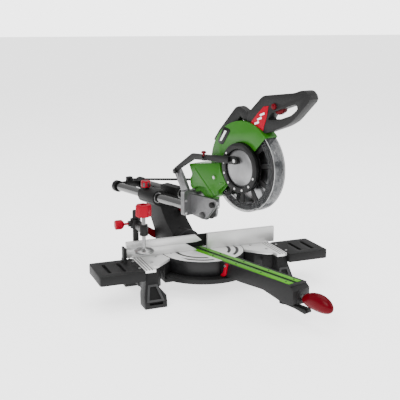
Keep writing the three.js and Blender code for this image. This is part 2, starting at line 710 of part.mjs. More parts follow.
function lowerGuard() {
  const x = [RIM_X[0] + 2.3, RIM_X[0] + 4.8];
  const spokes = [];
  const hub = ring("x", 60, 20.8, ...x, BLADE.y, BLADE.z, 36);
  const rim = guardSector(88, 104, x, -134, 49, 20);
  for (const a of [-126, -92, -58, -24, 10, 42]) {
    spokes.push(guardSector(55, 92, x, a - 4.5, a + 4.5, 3));
  }
  return join(hub, rim, ...spokes);
}

function guardRim() {
  const [left, right] = RIM_X;
  const shell = guardSector(86, RIM_R, RIM_X, -135, 50, 36);
  const inside = rod("x", RIM_R - 2, left + 2, right - 2, BLADE.y, BLADE.z, 36);
  return cut(shell, inside);
}

function guardLinkRear() {
  const bar = [[58, 300], [52, 316], [-22, 365], [-160, 374], [-160, 360], [-30, 350]];
  const boss = rod("z", 8, 353, 367, -50, -70, 20);
  const body = join(
    slab("x", rounded(bar, 4), -54, -49.5 + 0.3),
    cut(boss, block([-49, -30], [-100, -30], [300, 400])),
  );
  const stud = rod("x", 4, -50, -39.6, FIN_PIN.y, FIN_PIN.z, 16);
  const head = rod("x", 7, -57, -53.5, FIN_PIN.y, FIN_PIN.z, 16);
  return cut(join(body, stud, head), rod("z", 5, 360, 380, -54.4, -70, 16));
}

function guardLinkFront() {
  const bar = [[-36, 352], [-36, 364], [-178, 377], [-188, 372], [-188, 361], [-178, 357]];
  const cap = rod("x", 9, -53, -42.2, LINK_BOLT.y, LINK_BOLT.z, 16);
  return join(slab("x", rounded(bar, 4), -48.8, -44.5), cap);
}

function linkButton() {
  const profile = [
    [0, 363.6], [3, 363.6], [3, 371], [6.5, 371.4], [6.5, 375], [4, 377], [0, 377],
  ];
  return turned("z", profile, -54.4, -70, 16);
}

// ---- The saw ----
const saw = new THREE.Group();
const bench = new THREE.Group();
bench.position.y = ORIGIN_Y;
saw.add(bench);
const swivel = new THREE.Group();
swivel.rotation.z = THREE.MathUtils.degToRad(MITRE_DEG);
bench.add(swivel);

part(bench, "base_casting", baseCasting(), "black");
part(bench, "table_left", table(-1), "alloy");
part(bench, "table_right", table(1), "alloy");
part(bench, "wing_left", wing(-1), "black");
part(bench, "wing_right", wing(1), "black");
part(bench, "turntable_pivot_bolt", pivotBolt(), "steel");
part(bench, "fence_left_lower", fenceLeftLower(), "alloy");
part(bench, "fence_left_upper", fenceLeftUpper(), "alloy");
part(bench, "fence_right", fenceRight(), "alloy");
part(bench, "fence_bridge", fenceBridge(), "black");
part(bench, "flip_stop", flipStop(), "black");
part(bench, "clamp_post", clampPost(), "black");
part(bench, "clamp_arm", clampArm(), "black");
part(bench, "clamp_thumb_screw", clampThumbScrew(), "red");
part(bench, "clamp_spindle", clampSpindle(), "steel");
part(bench, "clamp_knob", clampKnob(), "red");

part(swivel, "turntable", turntable(), "alloy");
part(swivel, "mitre_arm", mitreArm(), "black");
part(swivel, "kerf_plate_left", kerfPlate(-1), "lime");
part(swivel, "kerf_plate_right", kerfPlate(1), "lime");
part(swivel, "mitre_pointer", mitrePointer(), "red");
part(swivel, "mitre_lock_handle", mitreLockHandle(), "wine");
part(swivel, "mitre_detent_lever", detentLever(), "black");
part(swivel, "bevel_bolt", bevelBolt(), "steel");
part(swivel, "bevel_column", bevelColumn(), "black");
part(swivel, "rail_bush_left", railBush(-1), "copper");
part(swivel, "rail_bush_right", railBush(1), "copper");
part(swivel, "bevel_lock_lever", bevelLockLever(), "wine");
part(swivel, "slide_lock_knob", slideLockKnob(), "red");
part(swivel, "bevel_stop_pin", bevelStopPin(), "wine");

part(swivel, "rail_left", rail(-1), "steel");
part(swivel, "rail_right", rail(1), "steel");
part(swivel, "rail_end_bar", railEndBar(), "black");
part(swivel, "head_bracket", headBracket(), "cast");
part(swivel, "head_hinge_pin", pivotPin(), "steel");
part(swivel, "transport_pin", transportPin(), "black");
part(swivel, "head_return_spring", headSpring(), "steel");
part(swivel, "power_lead", powerLead(), "rubber");
part(swivel, "guard_link_rear", guardLinkRear(), "black");
part(swivel, "guard_link_button", linkButton(), "wine");
part(swivel, "guard_link_front", guardLinkFront(), "black");

part(swivel, "arm_housing", armHousing(), "green");
part(swivel, "upper_guard", upperGuard(), "green");
part(swivel, "carry_handle", carryHandle(), "black");
part(swivel, "main_handle", mainHandle(), "black");
part(swivel, "trigger", trigger(), "wine");
part(swivel, "lock_off_button", lockOffButton(), "red");
part(swivel, "motor_housing", motorHousing(), "black");
part(swivel, "motor_end_cap", motorEndCap(), "black");
part(swivel, "drive_belt", driveBelt(), "rubber");
part(swivel, "guard_hub_ring", hubRing(), "black");
part(swivel, "guard_hub_cover", hubCover(), "cast");
part(swivel, "armature", armature(), "steel");
part(swivel, "motor_fan", motorFan(), "black");
part(swivel, "arbor_shaft", arborShaft(), "steel");
part(swivel, "blade_flange", bladeFlange(), "steel");
part(swivel, "blade", blade(), "steel");
part(swivel, "lower_guard", lowerGuard(), "black");
part(swivel, "guard_rim", guardRim(), "clear");

export default saw;
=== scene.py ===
import json
import math

import bpy
from mathutils import Matrix, Vector


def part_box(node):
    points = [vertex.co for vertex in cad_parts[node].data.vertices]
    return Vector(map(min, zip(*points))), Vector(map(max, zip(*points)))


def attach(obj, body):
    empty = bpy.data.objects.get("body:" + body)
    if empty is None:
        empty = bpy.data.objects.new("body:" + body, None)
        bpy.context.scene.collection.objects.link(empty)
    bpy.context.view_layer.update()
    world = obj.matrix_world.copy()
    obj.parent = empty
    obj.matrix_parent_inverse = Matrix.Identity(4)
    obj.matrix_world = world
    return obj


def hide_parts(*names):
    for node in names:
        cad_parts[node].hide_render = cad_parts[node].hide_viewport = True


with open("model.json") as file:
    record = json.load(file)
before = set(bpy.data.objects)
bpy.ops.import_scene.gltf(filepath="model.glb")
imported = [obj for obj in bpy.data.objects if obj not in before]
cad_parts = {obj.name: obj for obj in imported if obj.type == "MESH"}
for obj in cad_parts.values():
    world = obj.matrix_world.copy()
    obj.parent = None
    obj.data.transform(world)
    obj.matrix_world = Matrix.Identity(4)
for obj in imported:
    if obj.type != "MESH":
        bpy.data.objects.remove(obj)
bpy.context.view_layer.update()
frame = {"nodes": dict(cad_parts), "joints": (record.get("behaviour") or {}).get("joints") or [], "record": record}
joints = {joint["name"]: joint for joint in frame["joints"]}
bodies = frame["record"]["behaviour"]["bodies"]

# ---- Camera ----
# It stands in front and a little to the left, at about chest height over the bench, and looks at
# a point over the turntable's pivot, halfway up the saw.
pivot = Vector(joints["mitre_swivel"]["pos_m"])
left_of_pivot = 0.0068
middle_height = 0.2305
stand_off = 1.98
look_down = math.radians(13.31)
look_round = math.radians(-21.79)
looked_at = Vector((pivot.x - left_of_pivot, pivot.y, middle_height))
stand = looked_at + stand_off * Vector(
    (
        math.cos(look_down) * math.sin(look_round),
        -math.cos(look_down) * math.cos(look_round),
        math.sin(look_down),
    )
)
bpy.ops.object.camera_add(location=stand)
camera = bpy.context.object
camera.rotation_euler = (looked_at - stand).to_track_quat("-Z", "Y").to_euler()
camera.data.lens = 67.0
camera.data.sensor_width = 36.0
camera.data.clip_end = 50.0
bpy.context.scene.camera = camera


# ---- Bench and light ----
# The bench is a pale matt board, lit evenly from inside as a light table is. Three soft boxes stand
# over the front left, at the right and overhead, and the white room looks brighter than it lights.
class Flow:
    """A socket of a material's node tree. Arithmetic on it adds Math nodes."""

    def __init__(self, tree, socket=None):
        self.tree = tree
        self.socket = socket

    def add(self, kind, settings=None, sockets=None, out=0):
        """A node of that kind, its settings made first, then its sockets. Gives back one output."""
        made = self.tree.nodes.new(kind)
        for name, value in (settings or {}).items():
            setattr(made, name, value)
        for name, value in (sockets or {}).items():
            if isinstance(value, Flow):
                self.tree.links.new(value.socket, made.inputs[name])
            else:
                made.inputs[name].default_value = value
        return Flow(self.tree, made.outputs[out] if made.outputs else None)

    def math(self, operation, a, b=0.0):
        return self.add("ShaderNodeMath", {"operation": operation}, {0: a, 1: b})

    def __add__(self, other):
        return self.math("ADD", self, other)

    def __radd__(self, other):
        return self.math("ADD", other, self)

    def __sub__(self, other):
        return self.math("SUBTRACT", self, other)

    def __rsub__(self, other):
        return self.math("SUBTRACT", other, self)

    def __mul__(self, other):
        return self.math("MULTIPLY", self, other)

    def __rmul__(self, other):
        return self.math("MULTIPLY", other, self)

    def __gt__(self, other):
        return self.math("GREATER_THAN", self, other)

    def __lt__(self, other):
        return self.math("LESS_THAN", self, other)


def start_material(name):
    """An empty material and its flow, with the surface's own coordinates."""
    material = bpy.data.materials.new(name)
    material.use_nodes = True
    material.node_tree.nodes.clear()
    flow = Flow(material.node_tree)
    place = flow.add("ShaderNodeTexCoord", out=3)
    return material, flow, place


def end_material(flow, fixed, varied):
    """A Principled surface: what is the same all over is set, and what varies is linked."""
    surface = flow.add("ShaderNodeBsdfPrincipled", {}, {**fixed, **varied})
    flow.add("ShaderNodeOutputMaterial", {}, {"Surface": surface})


def blend_colour(flow, share, first, second):
    """Two colours mixed by a share from 0 to 1."""
    pair = [c if isinstance(c, Flow) else (*c, 1.0) for c in (first, second)]
    return flow.add("ShaderNodeMix", {"data_type": "RGBA"}, {0: share, 6: pair[0], 7: pair[1]}, out=2)


def cloud(flow, place, scale, detail=3.0, stretch=(1.0, 1.0, 1.0)):
    """Soft noise from 0 to 1 at a number of blobs to the metre."""
    where = flow.add("ShaderNodeMapping", {}, {"Vector": place, "Scale": stretch})
    return flow.add("ShaderNodeTexNoise", {}, {"Vector": where, "Scale": scale, "Detail": detail})


def relief(flow, height, strength):
    """A bump of up to four tenths of a millimetre."""
    depth = 0.0004
    return flow.add("ShaderNodeBump", {}, {"Height": height, "Strength": strength, "Distance": depth})


def grey(value, blue=1.0):
    """A neutral colour, a little bluer or warmer where blue isn't 1."""
    return (value, value, value * blue)


def pale_board():
    """Matt white board that glows a little."""
    material, flow, place = start_material("pale_board")
    shade = cloud(flow, place, 3.0)
    colour = blend_colour(flow, shade, grey(0.90), grey(0.93))
    end_material(
        flow,
        {"Roughness": 0.7, "Emission Strength": 1.8},
        {"Base Color": colour, "Emission Color": colour, "Normal": relief(flow, shade, 0.05)},
    )
    return material


below_feet = 0.0005
bpy.ops.mesh.primitive_plane_add(size=80.0, location=(0, 0, -below_feet))
bench = bpy.context.object
bench.name = "bench"
bench.data.materials.append(pale_board())

# Each soft box has its place, the length of its side and its power in watts.
soft_boxes = [
    ((-1.6, -1.7, 2.1), 1.6, 60.0),
    ((2.2, -1.1, 1.5), 1.4, 26.0),
    ((0.1, 0.5, 2.8), 2.6, 60.0),
]
for place, size, power in soft_boxes:
    bpy.ops.object.light_add(type="AREA", location=place)
    lamp = bpy.context.object
    lamp.data.size = size
    lamp.data.energy = power
    lamp.rotation_euler = (looked_at - Vector(place)).to_track_quat("-Z", "Y").to_euler()
sky = bpy.data.worlds.new("studio")
sky.use_nodes = True
sky.node_tree.nodes.clear()
air = Flow(sky.node_tree)
white_air = (1.0, 1.0, 1.0, 1.0)
lit = air.add("ShaderNodeBackground", {}, {"Color": white_air, "Strength": 0.85})
seen = air.add("ShaderNodeBackground", {}, {"Color": white_air, "Strength": 4.0})
straight_view = air.add("ShaderNodeLightPath")
room = air.add("ShaderNodeMixShader", {}, {0: straight_view, 1: lit, 2: seen})
air.add("ShaderNodeOutputWorld", {}, {"Surface": room})
bpy.context.scene.world = sky


# ---- Base casting ----
# One black painted die casting: the pan under the turntable, the floor, the table frames and the
# four legs. Its edges are broken by the mould, and its paint has a fine grain.
MM = 0.001
square = Matrix.Translation((pivot.x, pivot.y, 0))


def black_coat(name, tone, grain, depth, rough):
    """Moulded or painted black: fine grain, slow changes of tone and a little rubbed dust."""
    material, flow, place = start_material(name)
    fine = cloud(flow, place, grain, 2.0)
    slow = cloud(flow, place, 28.0, 4.0)
    colour = blend_colour(flow, slow, grey(tone * 0.75, 1.04), grey(tone * 1.4, 1.0143))
    roughness = rough - 0.06 + slow * 0.12 + fine * 0.05
    end_material(
        flow,
        {"Specular IOR Level": 0.2},
        {"Base Color": colour, "Roughness": roughness, "Normal": relief(flow, fine, depth)},
    )
    return material


def alone(piece):
    """Only this piece is selected, and it is the active one."""
    bpy.ops.object.select_all(action="DESELECT")
    piece.select_set(True)
    bpy.context.view_layer.objects.active = piece


def body_of(node):
    """The body that the record puts a part in."""
    return next(body for body, members in bodies.items() if node in members)


def copy_of(master, name):
    """A new object with its own copy of the master's mesh."""
    copy = bpy.data.objects.new(name, master.data.copy())
    bpy.context.scene.collection.objects.link(copy)
    return copy


def break_edges(piece, width, turn=30.0):
    """Rounds the active piece's edges, where two faces turn by more than that many degrees."""
    bevel = piece.modifiers.new("edges", "BEVEL")
    bevel.width = width
    bevel.segments = 2
    bevel.limit_method = "ANGLE"
    bevel.angle_limit = math.radians(turn)
    bpy.ops.object.modifier_apply(modifier="edges")


def finished(node, material, edge, turn=40.0, smooth=38.0):
    """The part with its edges rounded as a mould or a file leaves them, in place of the plain one."""
    weld = 0.00002
    flat_within = math.radians(0.6)
    piece = copy_of(frame["nodes"][node], node + "_finished")
    alone(piece)
    bpy.ops.object.mode_set(mode="EDIT")
    bpy.ops.mesh.select_all(action="SELECT")
    bpy.ops.mesh.remove_doubles(threshold=weld)
    bpy.ops.mesh.dissolve_limited(angle_limit=flat_within)
    bpy.ops.object.mode_set(mode="OBJECT")
    if edge:
        break_edges(piece, edge, turn)
    bpy.ops.object.shade_smooth_by_angle(angle=math.radians(smooth))
    piece.data.materials.clear()
    piece.data.materials.append(material)
    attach(piece, body_of(node))
    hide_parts(node)


casting_black = black_coat("casting_black", 0.0075, 900.0, 0.22, 0.5)
finished("base_casting", casting_black, 0.0012)


# ---- Foot frames ----
# A raised frame on each front foot, cast with it and coloured paler than the casting. The panel inside it lies
# deeper and is painted near black, as painted shade in the recess.
pale_frame_black = black_coat("pale_frame_black", 0.035, 900.0, 0.2, 0.45)
# Painted shade: the sunk panel is coloured near black where the recess lies in shade.
recess_shade_black = black_coat("recess_shade_black", 0.0015, 900.0, 0.2, 0.6)
foot_sides = {"top": (171.0, 195.0), "bottom": (157.0, 203.0)}
foot_front = {"top": (-121.9, 57.0), "bottom": (-138.6, 17.0)}
frame_width = 0.0055
frame_rise = (0, -0.0026, 0.001)
panel_drop = (0, 0.0022, -0.0009)
for side in (-1, 1):
    bpy.ops.object.select_all(action="DESELECT")
    bpy.ops.mesh.primitive_plane_add(size=1.0)
    foot_frame = bpy.context.object
    foot_frame.name = f"foot_frame_{side + 1}"
    for vertex in foot_frame.data.vertices:
        end = "bottom" if vertex.co.y < 0 else "top"
        inner, outer = foot_sides[end]
        forward, height = foot_front[end]
        reach = inner if vertex.co.x < 0 else outer
        vertex.co = (side * reach * MM, forward * MM, height * MM)
    bpy.ops.object.mode_set(mode="EDIT")
    bpy.ops.mesh.select_all(action="SELECT")
    if side < 0:
        bpy.ops.mesh.flip_normals()
    bpy.ops.mesh.extrude_region_move(TRANSFORM_OT_translate={"value": frame_rise})
    bpy.ops.mesh.inset(thickness=frame_width)
    bpy.ops.mesh.extrude_region_move(TRANSFORM_OT_translate={"value": panel_drop})
    bpy.ops.object.mode_set(mode="OBJECT")
    # The sunk panel takes the painted shade, and the frame and its walls take the paler black.
    for face in foot_frame.data.polygons:
        face.material_index = 1 if face.select else 0
    bpy.ops.object.mode_set(mode="EDIT")
    bpy.ops.mesh.select_all(action="SELECT")
    bpy.ops.mesh.normals_make_consistent(inside=False)
    bpy.ops.object.mode_set(mode="OBJECT")
    foot_frame.data.transform(square)
    foot_frame.data.materials.append(pale_frame_black)
    foot_frame.data.materials.append(recess_shade_black)
    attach(foot_frame, "base")


# ---- Fixed tables ----
# Two cast aluminium plates, machined on top and screwed to the casting. Dark grooves run across
# them beside the wings, where the length scale is read.
def machined(name, tone, lines=None, along=(1.0, 0.04, 1.0)):
    """Machined aluminium: long faint tool marks, a few duller patches, and black where lines is 1."""
    material, flow, place = start_material(name)
    marks = cloud(flow, place, 420.0, 3.0, along)
    patch = cloud(flow, place, 22.0, 3.0)
    colour = blend_colour(flow, patch, grey(tone * 0.93, 0.99), grey(tone * 1.08, 0.99))
    colour = blend_colour(flow, marks * 0.35, colour, grey(tone * 0.8))
    metal = 0.5 + patch * 0.1
    if lines:
        painted = lines(flow, place)
        colour = blend_colour(flow, painted, colour, grey(0.007, 1.07))
        metal = 0.55 - painted * 0.5
    end_material(
        flow,
        {"Specular IOR Level": 0.3},
        {
            "Base Color": colour,
            "Metallic": metal,
            "Roughness": 0.34 + marks * 0.14,
            "Normal": relief(flow, marks, 0.12),
        },
    )
    return material


def axis_of(flow, place, axis):
    """One coordinate of a place: 0 to the right, 1 to the back, 2 up."""
    return flow.add("ShaderNodeSeparateXYZ", {}, {"Vector": place}, out=axis)


table_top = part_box("table_left")[1].z


def table_grooves(flow, place):
    """Three dark lines across each table near its outer edge, in front of the fence."""
    half_width = 0.0011
    fence_line = pivot.y - 0.004
    x = flow.math("ABSOLUTE", axis_of(flow, place, 0))
    top = axis_of(flow, place, 2) > table_top - 0.002
    lines = 0.0
    for middle in (0.178, 0.1855, 0.193):
        lines = (flow.math("ABSOLUTE", x - middle) < half_width) + lines
    front = axis_of(flow, place, 1) < fence_line
    return flow.math("MINIMUM", lines * top * front, 1.0)


table_metal = machined("table_metal", 0.8, table_grooves)
for side in ("left", "right"):
    finished("table_" + side, table_metal, 0.0005)


# ---- Screws ----
# Steel socket screws hold the tables, wings, plates, guard and covers. Each is a low button head with a chamfered
# rim and a sunk socket.
def ground_steel(name, tone, rough, stretch=(1.0, 1.0, 1.0), metal=1.0):
    """Turned or ground steel: fine marks, drawn out along a tube, and a slow change of tone."""
    material, flow, place = start_material(name)
    marks = cloud(flow, place, 700.0, 3.0, stretch)
    patch = cloud(flow, place, 35.0, 3.0)
    colour = blend_colour(flow, patch, grey(tone * 0.88, 1.01), grey(tone * 1.1, 0.99))
    end_material(
        flow,
        {"Metallic": metal},
        {"Base Color": colour, "Roughness": rough + marks * 0.12, "Normal": relief(flow, marks, 0.06)},
    )
    return material


across = Vector(joints["arbor_spin"]["axis"])
back = Vector(joints["rail_slide"]["axis"])
turned = square @ Matrix(
    ((across.x, back.x, 0, 0), (across.y, back.y, 0, 0), (0, 0, 1, 0), (0, 0, 0, 1))
)


def choose_faces(piece, wanted):
    """The piece in edit mode, with only the wanted faces selected."""
    bpy.ops.object.mode_set(mode="EDIT")
    bpy.ops.mesh.select_all(action="DESELECT")
    bpy.ops.object.mode_set(mode="OBJECT")
    for face in piece.data.polygons:
        face.select = wanted(face)
    bpy.ops.object.mode_set(mode="EDIT")
    bpy.ops.mesh.select_mode(type="FACE")


# The master screw has a radius of 1 and is scaled to each place.
head_height = 0.8
rim_chamfer = 0.24
socket_rim = 0.28
socket_depth = 0.45
bpy.ops.object.select_all(action="DESELECT")
bpy.ops.mesh.primitive_cylinder_add(vertices=18, radius=1.0, depth=head_height)
screw = bpy.context.object
screw.name = "screw_master"
screw.data.transform(Matrix.Translation((0, 0, head_height / 2)))
choose_faces(screw, lambda face: face.normal.z > 0.9)
bpy.ops.mesh.bevel(offset=rim_chamfer, segments=3)
bpy.ops.mesh.inset(thickness=socket_rim)
bpy.ops.mesh.extrude_region_move(TRANSFORM_OT_translate={"value": (0, 0, -socket_depth)})
bpy.ops.object.mode_set(mode="OBJECT")
bpy.ops.object.shade_smooth_by_angle(angle=math.radians(40))
screw_steel = ground_steel("screw_steel", 0.5, 0.3)
dark_screw_steel = ground_steel("dark_screw_steel", 0.06, 0.35, metal=0.8)


def facing(direction):
    """The turn that brings a piece made upright to face that way."""
    return Vector(direction).to_track_quat("Z", "Y").to_matrix().to_4x4()


def placed(ground, at, out):
    """Where a piece goes on its ground: at a place in millimetres, its top facing out."""
    return ground @ Matrix.Translation(Vector(at) * MM) @ facing(out)


def put_screw(name, at, out, radius, body, material=screw_steel, ground=turned):
    """A screw head at a place in millimetres, its top facing out."""
    head = copy_of(screw, name)
    width = radius * MM
    head.data.transform(placed(ground, at, out) @ Matrix.Diagonal((width, width, width * 0.7, 1)))
    head.data.materials.append(material)
    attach(head, body)


UP = (0, 0, 1)
LEFT = (-1, 0, 0)
top_mm = table_top / MM
for side in (-1, 1):
    for count, (x, y) in enumerate([(137, -14), (163, -60)]):
        at = (side * x, y, top_mm)
        put_screw(f"table_screw_{side + 1}{count}", at, UP, 3.6, "base", ground=square)


# ---- Wings ----
# Black plastic extension tables, each one hollow moulding with two grooves in its top, screwed to
# the side of the fixed table.
wing_black = black_coat("wing_black", 0.006, 1300.0, 0.3, 0.55)
for side, name in ((-1, "left"), (1, "right")):
    finished("wing_" + name, wing_black, 0.0026)
    for count, y in enumerate((-34, -92)):
        at = (side * 206, y, top_mm)
        put_screw(f"wing_screw_{name}_{count}", at, UP, 3.4, "base", ground=square)


# ---- Fence ----
# Drawn aluminium rails: a low one and a sliding one on the left, a tall one on the right. A black
# casting behind joins them past the saw cut, and a black plastic stop folds over the left table.
fence_metal = machined("fence_metal", 0.7, along=(0.03, 1.0, 1.0))
for node in ("fence_left_lower", "fence_left_upper", "fence_right"):
    finished(node, fence_metal, 0.0006)
finished("fence_bridge", casting_black, 0.001)
for count, x in enumerate((-136, 136, 176)):
    put_screw(f"fence_screw_{count}", (x, 20, 99), UP, 4.2, "base", dark_screw_steel, square)
finished("flip_stop", wing_black, 0.0008)


# ---- Work clamp ----
# A black post and arm, with a steel screw that ends in a round pad. The two knobs are glossy red
# mouldings with finger lobes.
def gloss_plastic(name, tone, rough=0.3):
    """Polished moulding: slow changes of depth and gloss under a thin shine."""
    material, flow, place = start_material(name)
    slow = cloud(flow, place, 40.0, 3.0)
    fine = cloud(flow, place, 900.0, 2.0)
    deeper = tuple(part * 0.75 for part in tone)
    colour = blend_colour(flow, slow, deeper, tone)
    end_material(
        flow,
        {"Coat Roughness": 0.1, "Specular IOR Level": 0.06},
        {
            "Base Color": colour,
            "Roughness": rough + slow * 0.1,
            "Coat Weight": 0.02 + slow * 0.04,
            "Normal": relief(flow, fine, 0.07),
        },
    )
    return material


bright_red = gloss_plastic("bright_red", (0.32, 0.0, 0.014))
post_black = black_coat("post_black", 0.003, 700.0, 0.1, 0.36)
finished("clamp_post", post_black, 0.0)
finished("clamp_arm", post_black, 0.0008)
finished("clamp_spindle", ground_steel("spindle_steel", 0.30, 0.24), 0.0006)


def lobed_knob(name, node, at, out, radius, height, lobes, ground):
    """A moulded knob: a drum with finger lobes round it, a rounded top and a dished middle."""
    lobe_depth = 0.09
    rounding = min(radius, height) * 0.16 * MM
    dish_rim = radius * 0.35 * MM
    dish_depth = height * 0.1 * MM
    smallest_top = (radius * MM) ** 2
    bpy.ops.object.select_all(action="DESELECT")
    bpy.ops.mesh.primitive_cylinder_add(vertices=lobes * 6, radius=radius * MM, depth=height * MM)
    knob = bpy.context.object
    knob.name = name
    for vertex in knob.data.vertices:
        angle = math.atan2(vertex.co.y, vertex.co.x)
        wave = 1.0 - lobe_depth * (0.5 - 0.5 * math.cos(angle * lobes))
        vertex.co.x *= wave
        vertex.co.y *= wave
        vertex.co.z += height * MM / 2
    bpy.ops.object.mode_set(mode="EDIT")
    bpy.ops.mesh.select_all(action="SELECT")
    bpy.ops.mesh.bevel(offset=rounding, segments=3)
    choose_faces(knob, lambda face: face.normal.z > 0.99 and face.area > smallest_top)
    bpy.ops.mesh.inset(thickness=dish_rim)
    bpy.ops.mesh.extrude_region_move(TRANSFORM_OT_translate={"value": (0, 0, -dish_depth)})
    bpy.ops.object.mode_set(mode="OBJECT")
    bpy.ops.object.shade_smooth_by_angle(angle=math.radians(32))
    knob.data.transform(placed(ground, at, out))
    knob.data.materials.append(bright_red)
    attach(knob, body_of(node))
    return knob


grip = lobed_knob("clamp_knob_grip", "clamp_knob", (-177, -40, 211.4), UP, 20.3, 31, 7, square)
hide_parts("clamp_knob")
finished("clamp_thumb_screw", bright_red, 0.0008)
lobed_knob("clamp_thumb_grip", "clamp_thumb_screw", (-219, 18, 180), LEFT, 12.9, 17.5, 5, square)


# ---- Turntable ----
# A cast table that swivels in the pan on its bolt. Its top is machined bright and carries dark
# rings, its rim is painted black, and the black arm and the red pointer are screwed to it.
def from_pivot(flow, place, direction):
    """How far a place lies from the pivot along a level direction."""
    x = axis_of(flow, place, 0) - pivot.x
    y = axis_of(flow, place, 1) - pivot.y
    return x * direction.x + y * direction.y


def table_rings(flow, place):
    """1 on the black paint and the dark rings, 0 on the bright top."""
    top_skin = 0.0012
    rim_radius = 0.1105
    ring_half = 0.0042
    ring_back = 0.030
    ring_start, ring_end = 0.034, 0.088
    sideways = from_pivot(flow, place, across)
    backward = from_pivot(flow, place, back)
    reach = flow.math("SQRT", sideways * sideways + backward * backward)
    side = flow.math("ABSOLUTE", axis_of(flow, place, 2) - table_top) > top_skin
    rings = 0.0
    for radius in (0.094, 0.073):
        rings = (flow.math("ABSOLUTE", reach - radius) < ring_half) + rings
    lateral = flow.math("ABSOLUTE", sideways)
    rings = rings * (lateral > ring_start) * (lateral < ring_end) * (backward < ring_back)
    return flow.math("MINIMUM", side + (reach > rim_radius) + rings, 1.0)


finished("turntable", machined("turntable_metal", 0.8, table_rings), 0.0008)
finished("turntable_pivot_bolt", dark_screw_steel, 0.0005)
finished("mitre_arm", casting_black, 0.0012)
finished("mitre_pointer", bright_red, 0.0008)
put_screw("pointer_screw", (-34, -131, 86), LEFT, 3.0, "turntable")


# ---- Slot plates ----
# Two light green plastic strips beside the saw cut, each held by four small black screws. Their edges along the
# cut carry painted shade, nearly black, for the shade of the slot.
def slot_plate_green():
    """Light green moulded plastic, with painted shade nearly black beside the cut."""
    slot_shade_half_width = 0.0062
    material, flow, place = start_material("slot_plate_green")
    fine = cloud(flow, place, 1000.0, 2.0)
    slow = cloud(flow, place, 30.0, 3.0)
    # Painted shade: within this half width of the cut, the strips are coloured nearly black.
    slot_shade_mask = flow.math("ABSOLUTE", from_pivot(flow, place, across)) < slot_shade_half_width
    colour = blend_colour(flow, slow, (0.055, 0.29, 0.0), (0.08, 0.35, 0.0))
    colour = blend_colour(flow, slot_shade_mask, colour, (0.012, 0.05, 0.004))
    end_material(
        flow,
        {"Specular IOR Level": 0.2},
        {"Base Color": colour, "Roughness": 0.36 + slow * 0.1, "Normal": relief(flow, fine, 0.1)},
    )
    return material


plate_green = slot_plate_green()
for side, x in (("left", -14), ("right", 13)):
    finished("kerf_plate_" + side, plate_green, 0.0004)
    for count, y in enumerate((-60, -150, -240, -325)):
        put_screw(f"plate_screw_{side}_{count}", (x, y, top_mm), UP, 2.1, "turntable", dark_screw_steel)


# ---- Mitre lock ----
# A dark red moulded paddle on a steel stem, screwed into the arm's end, locks the turntable. A
# black squeeze lever under it lifts the detent.
dark_red = gloss_plastic("dark_red", (0.10, 0.0, 0.004), 0.24)
bpy.ops.object.select_all(action="DESELECT")
bpy.ops.mesh.primitive_uv_sphere_add(segments=40, ring_count=24, radius=1.0)
paddle = bpy.context.object
paddle.name = "mitre_lock_paddle"
stem_height = joints["mitre_lock_turn"]["pos_m"][2] / MM
paddle_middle = -412.0
half_length = 46.5
tip_drop = 5.0
for vertex in paddle.data.vertices:
    side, along, up = vertex.co
    half_width = 16.0 - 3.0 * along
    half_height = 21.5 - 2.5 * along
    height = stem_height + up * half_height - tip_drop * along * along
    vertex.co = (side * half_width, paddle_middle + along * half_length, height)
paddle.data.transform(turned @ Matrix.Scale(MM, 4))
bpy.ops.object.shade_smooth()
paddle.data.materials.append(dark_red)
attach(paddle, "mitre_lock_handle")
bpy.ops.object.select_all(action="DESELECT")
bpy.ops.mesh.primitive_cylinder_add(
    vertices=32, radius=0.005, depth=0.100, rotation=(math.radians(90), 0, 0)
)
stem = bpy.context.object
stem.name = "mitre_lock_stem"
bpy.ops.object.transform_apply(rotation=True)
stem.data.transform(turned @ Matrix.Translation(Vector((0, -346, stem_height)) * MM))
bpy.ops.object.shade_smooth_by_angle(angle=math.radians(40))
stem.data.materials.append(screw_steel)
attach(stem, "mitre_lock_handle")
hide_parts("mitre_lock_handle")
finished("mitre_detent_lever", post_black, 0.001)


# ---- Bevel column and carriage ----
# A black casting that tilts on the turntable's flange, about a steel bolt. Its saddle holds the
# rails in two bronze bushes, and red plastic grips work its lock lever, rail lock and bevel stop.
finished("bevel_bolt", ground_steel("bolt_steel", 0.5, 0.3), 0.0005)
finished("bevel_column", black_coat("column_black", 0.003, 700.0, 0.4, 0.5), 0.0018)
bronze = ground_steel("bush_bronze", 0.4, 0.35)
for side in ("left", "right"):
    finished("rail_bush_" + side, bronze, 0.0004)
finished("bevel_lock_lever", dark_red, 0.002)
finished("slide_lock_knob", dark_screw_steel, 0.0006)
lobed_knob("slide_lock_grip", "slide_lock_knob", (-44, 196, 238.6), UP, 14.2, 18.4, 6, turned)
finished("bevel_stop_pin", dark_red, 0.0006)
put_screw("lever_screw", (0, 181, top_mm), (0, 1, 0), 7.0, "turntable", dark_screw_steel)


# ---- Rails and head bracket ----
# Two ground steel tubes, closed behind by a black bar and screwed in front into a grey casting.
# Its cheeks carry the head on a steel pin, with the return spring and the black transport pin.
rail_steel = ground_steel("rail_steel", 0.15, 0.12, (6.0, 0.4, 6.0))
for side in ("left", "right"):
    finished("rail_" + side, rail_steel, 0.0)
finished("rail_end_bar", post_black, 0.001)


def cast_grey(name, dark, light, rough):
    """Shot-blasted die casting: dull grey with a pitted skin and slow changes of tone."""
    material, flow, place = start_material(name)
    pits = cloud(flow, place, 900.0, 4.0)
    slow = cloud(flow, place, 45.0, 4.0)
    colour = blend_colour(flow, slow, grey(dark, 1.02), grey(light, 1.02))
    end_material(
        flow,
        {"Metallic": 0.85},
        {"Base Color": colour, "Roughness": rough + pits * 0.2, "Normal": relief(flow, pits, 0.3)},
    )
    return material


